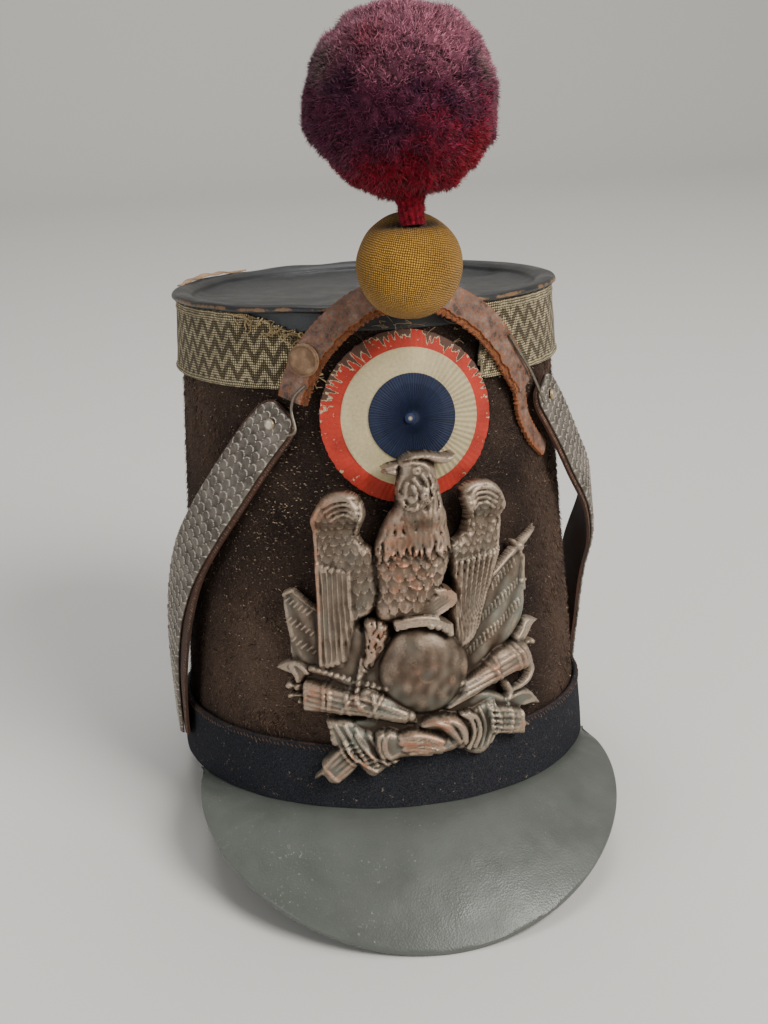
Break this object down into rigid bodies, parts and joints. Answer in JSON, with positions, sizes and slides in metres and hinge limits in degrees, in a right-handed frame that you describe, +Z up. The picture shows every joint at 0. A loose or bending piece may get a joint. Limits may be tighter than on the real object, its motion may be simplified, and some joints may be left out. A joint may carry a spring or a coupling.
{
  "type": "shako with pompom",
  "caption": "Tall felt military cap with a leather top and peak, woven tape, chin scales hooked up at the sides, pleated cockade, stamped rooster plate and a wool pompom on a cloth ball.",
  "frame": {"origin": "middle of the bounding box's base, on the surface that the cap rests on", "axes": "+Z up, front of the cap towards -Y, the wearer's left towards +X; the cap tips back as it rests on its back edge and the peak's tip"},
  "size_m": [0.189, 0.2578, 0.334],
  "materials": {
    "felt": "beaver-napped felt, matt, worn brown in places",
    "black_leather": "worn black leather, satin, blue-grey sheen",
    "tape": "woven olive-brown tape with a pale zigzag",
    "velvet": "near-black velvet",
    "peak_leather": "dark grey-green leather, fine grain, satin",
    "hide": "grey-brown grain hide with rough orange edges",
    "brass": "worn brass, dull",
    "pewter": "grey stamped metal, tarnished",
    "backing_leather": "brown leather with a stitched edge",
    "cockade_paint": "chipped red, cream and dark blue paint",
    "bronze": "tarnished copper-bronze with a grey-green patina",
    "mustard_cloth": "mustard plain weave",
    "crimson_cloth": "crimson wound wool",
    "wool": "clipped wool, plum to crimson, faded to rose-brown"
  },
  "bodies": {
    "root": {"felt_crown": "felt", "top_leather": "black_leather", "galon": "tape", "lower_band": "velvet", "peak": "peak_leather", "strap_left": "hide", "strap_right": "hide", "strap_rivet": "brass", "chin_backing_left": "backing_leather", "chin_scale_left": "pewter", "scale_rivet_left": "brass", "chin_backing_right": "backing_leather", "chin_scale_right": "pewter", "scale_rivet_right": "brass", "hook_left": "pewter", "hook_right": "pewter", "cockade": "cockade_paint", "cockade_stud": "cockade_paint", "rooster_plate": "bronze", "ball": "mustard_cloth", "pompom_neck": "crimson_cloth", "pompom": "wool"}
  },
  "joints": []
}
